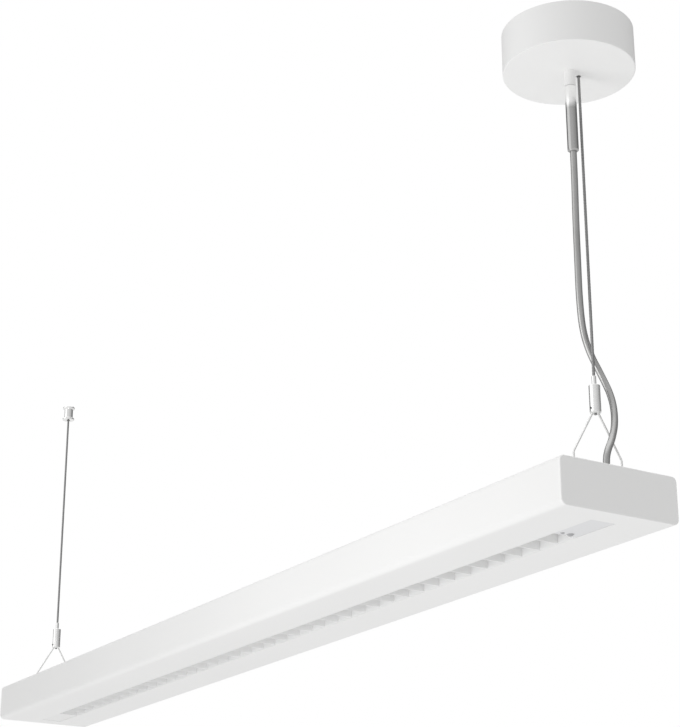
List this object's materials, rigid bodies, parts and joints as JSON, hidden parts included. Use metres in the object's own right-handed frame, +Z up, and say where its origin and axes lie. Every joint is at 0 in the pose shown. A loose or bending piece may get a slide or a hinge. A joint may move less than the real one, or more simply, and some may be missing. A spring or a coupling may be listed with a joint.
{
  "type": "led pendant light",
  "caption": "Long slim white housing with an egg-crate louvre strip and a sensor plate, hung level on two steel wires with grippers, fed by a cord from a round ceiling canopy.",
  "frame": {"origin": "middle of the two slots in the ceiling bracket, on the ceiling plane above the right-hand wire", "axes": "+X along the housing towards its right-hand end, +Y across it, +Z up"},
  "size_m": [1.234, 0.1358, 0.4696],
  "materials": {
    "white_paint": "satin",
    "white_cap": "satin",
    "white_plastic": "satin",
    "plate_grey": "satin",
    "lens_dark": "gloss",
    "zinc_steel": "satin",
    "nickel": "polished",
    "wire_steel": "stranded",
    "cord_sheath": "semi-gloss",
    "grey_rubber": "matte",
    "board_white": "matte",
    "led_phosphor": "gloss",
    "driver_white": "matte",
    "module_black": "matte",
    "lead_sheath": "semi-gloss"
  },
  "bodies": {
    "ceiling_set": {"ceiling_bracket": "zinc_steel", "hanger_screw": "zinc_steel", "right_hanger_bush": "nickel", "right_hanger_cap": "nickel", "left_hanger_base": "nickel", "left_hanger_cap": "nickel", "canopy": "white_paint", "canopy_clips": "zinc_steel", "cord_gland": "white_plastic", "gland_nut": "white_plastic", "gland_seal": "grey_rubber", "cord_sleeve": "nickel", "canopy_terminal_block": "driver_white", "canopy_terminal_screws": "zinc_steel", "canopy_cord_tail": "cord_sheath", "power_cord": "cord_sheath"},
    "right_swivel": {"right_swivel_ball": "nickel"},
    "right_wire": {"right_suspension_wire": "wire_steel"},
    "right_gripper": {"right_gripper_body": "nickel", "right_clutch_balls": "nickel", "right_clutch_spring": "zinc_steel", "right_lock_screw": "nickel", "right_bridle": "wire_steel"},
    "right_plunger": {"right_release_plunger": "nickel"},
    "left_swivel": {"left_swivel_ball": "nickel"},
    "left_wire": {"left_suspension_wire": "wire_steel"},
    "left_gripper": {"left_gripper_body": "nickel", "left_clutch_balls": "nickel", "left_clutch_spring": "zinc_steel", "left_lock_screw": "nickel", "left_bridle": "wire_steel"},
    "left_plunger": {"left_release_plunger": "nickel"},
    "housing": {"housing_shell": "white_paint", "right_end_cap": "white_cap", "left_end_cap": "white_cap", "end_cap_screws": "zinc_steel", "top_cover": "white_paint", "cover_screws": "zinc_steel", "gear_tray": "zinc_steel", "tray_nuts": "zinc_steel", "louvre": "white_plastic", "led_boards": "board_white", "led_chips": "led_phosphor", "sensor_plate": "plate_grey", "blank_plate": "white_plastic", "motion_sensor_lens": "lens_dark", "light_sensor_lens": "lens_dark", "sensor_module": "module_black", "led_driver": "driver_white", "driver_screws": "zinc_steel", "housing_terminal_block": "driver_white", "housing_terminal_screws": "zinc_steel", "supply_leads": "lead_sheath", "led_lead": "lead_sheath", "inlet_gland": "white_plastic", "inlet_nut": "white_plastic", "housing_cord_tail": "cord_sheath", "right_bridle_anchors": "zinc_steel", "left_bridle_anchors": "zinc_steel", "anchor_nuts": "zinc_steel"}
  },
  "joints": [
    {"name": "swing_across", "type": "hinge", "parent": "ceiling_set", "child": "right_swivel", "pos_m": [0, 0, -0.0345], "axis": [1, 0, 0], "range_deg": [-3, 3], "deforming": ["power_cord"]},
    {"name": "left_swing_across", "type": "hinge", "parent": "ceiling_set", "child": "left_swivel", "pos_m": [-1.146, 0, -0.0345], "axis": [1, 0, 0], "range_deg": [-3, 3]},
    {"name": "swing_along", "type": "hinge", "parent": "right_swivel", "child": "right_wire", "pos_m": [0, 0, -0.0345], "axis": [0, 1, 0], "range_deg": [-3, 3], "deforming": ["power_cord"]},
    {"name": "left_swing_along", "type": "hinge", "parent": "left_swivel", "child": "left_wire", "pos_m": [-1.146, 0, -0.0345], "axis": [0, 1, 0], "range_deg": [-3, 3]},
    {"name": "height_adjust", "type": "slide", "parent": "right_wire", "child": "right_gripper", "axis": [0, 0, 1], "range_m": [0, 0.04], "deforming": ["power_cord"]},
    {"name": "left_height_adjust", "type": "slide", "parent": "left_wire", "child": "left_gripper", "axis": [0, 0, 1], "range_m": [0, 0.04]},
    {"name": "housing_level", "type": "hinge", "parent": "right_gripper", "child": "housing", "pos_m": [0, 0, -0.4217], "axis": [0, 1, 0], "range_deg": [-3, 3], "deforming": ["power_cord"]},
    {"name": "right_plunger_press", "type": "slide", "parent": "right_gripper", "child": "right_plunger", "axis": [0, 0, -1], "range_m": [0, 0.0015], "stiffness_N_per_m": 600, "springref_m": -0.001},
    {"name": "left_plunger_press", "type": "slide", "parent": "left_gripper", "child": "left_plunger", "axis": [0, 0, -1], "range_m": [0, 0.0015], "stiffness_N_per_m": 600, "springref_m": -0.001}
  ],
  "couplings": [
    {"joint": "left_swing_across", "follows": "swing_across", "ratio": 1},
    {"joint": "left_swing_along", "follows": "swing_along", "ratio": 1},
    {"joint": "left_height_adjust", "follows": "height_adjust", "ratio": 1},
    {"joint": "housing_level", "follows": "swing_along", "ratio": -1}
  ]
}
